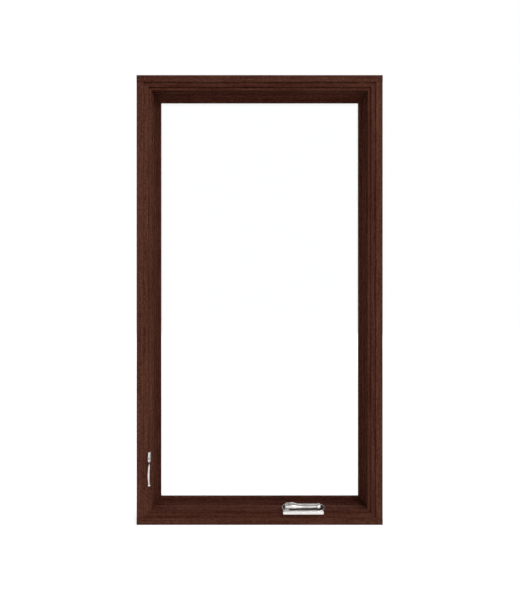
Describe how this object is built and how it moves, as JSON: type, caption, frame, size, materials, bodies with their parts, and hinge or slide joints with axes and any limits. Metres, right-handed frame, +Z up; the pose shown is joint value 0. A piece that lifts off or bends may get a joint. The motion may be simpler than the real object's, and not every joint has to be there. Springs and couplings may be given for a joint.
{
  "type": "wooden casement window",
  "caption": "Dark stained wooden casement window with a stepped frame, double glazing, a fold-away crank in its cover on the sill and a lock lever on the left jamb",
  "frame": {"origin": "the middle of the flat underside of the sill board, halfway between the face to the room and the outdoor face of the frame", "axes": "+X to the right as seen from the room, +Y outdoors, +Z up"},
  "size_m": [0.7366, 0.1294, 1.3462],
  "materials": {
    "stained_wood": "satin",
    "seal_rubber": "matte",
    "clear_glass": "gloss",
    "spacer_metal": "satin",
    "satin_nickel": "satin"
  },
  "bodies": {
    "window": {"frame_head": "stained_wood", "frame_sill": "stained_wood", "frame_left_jamb": "stained_wood", "frame_right_jamb": "stained_wood", "stop_head": "stained_wood", "stop_sill": "stained_wood", "stop_left": "stained_wood", "stop_right": "stained_wood", "sash_left_stile": "stained_wood", "sash_right_stile": "stained_wood", "sash_top_rail": "stained_wood", "sash_bottom_rail": "stained_wood", "outer_bead_head": "stained_wood", "outer_bead_sill": "stained_wood", "outer_bead_left": "stained_wood", "outer_bead_right": "stained_wood", "seal_head": "seal_rubber", "seal_sill": "seal_rubber", "seal_left": "seal_rubber", "seal_right": "seal_rubber", "glass_inner_pane": "clear_glass", "glass_outer_pane": "clear_glass", "glass_spacer_head": "spacer_metal", "glass_spacer_sill": "spacer_metal", "glass_spacer_left": "spacer_metal", "glass_spacer_right": "spacer_metal", "crank_cover": "satin_nickel", "crank_spindle": "satin_nickel", "crank_fold_pin": "satin_nickel", "lock_housing": "satin_nickel", "lock_pin": "satin_nickel"},
    "crank": {"crank_arm": "satin_nickel", "crank_ball": "satin_nickel"},
    "lever": {"lock_lever": "satin_nickel"}
  },
  "joints": [
    {"name": "crank_fold", "type": "hinge", "parent": "window", "child": "crank", "pos_m": [0.082, -0.05157, 0.05577], "axis": [0, -0.9063, -0.4226], "range_deg": [0, 150]},
    {"name": "lock_swing", "type": "hinge", "parent": "window", "child": "lever", "pos_m": [-0.3295, -0.0625, 0.196], "axis": [-1, 0, 0], "range_deg": [0, 120]}
  ]
}
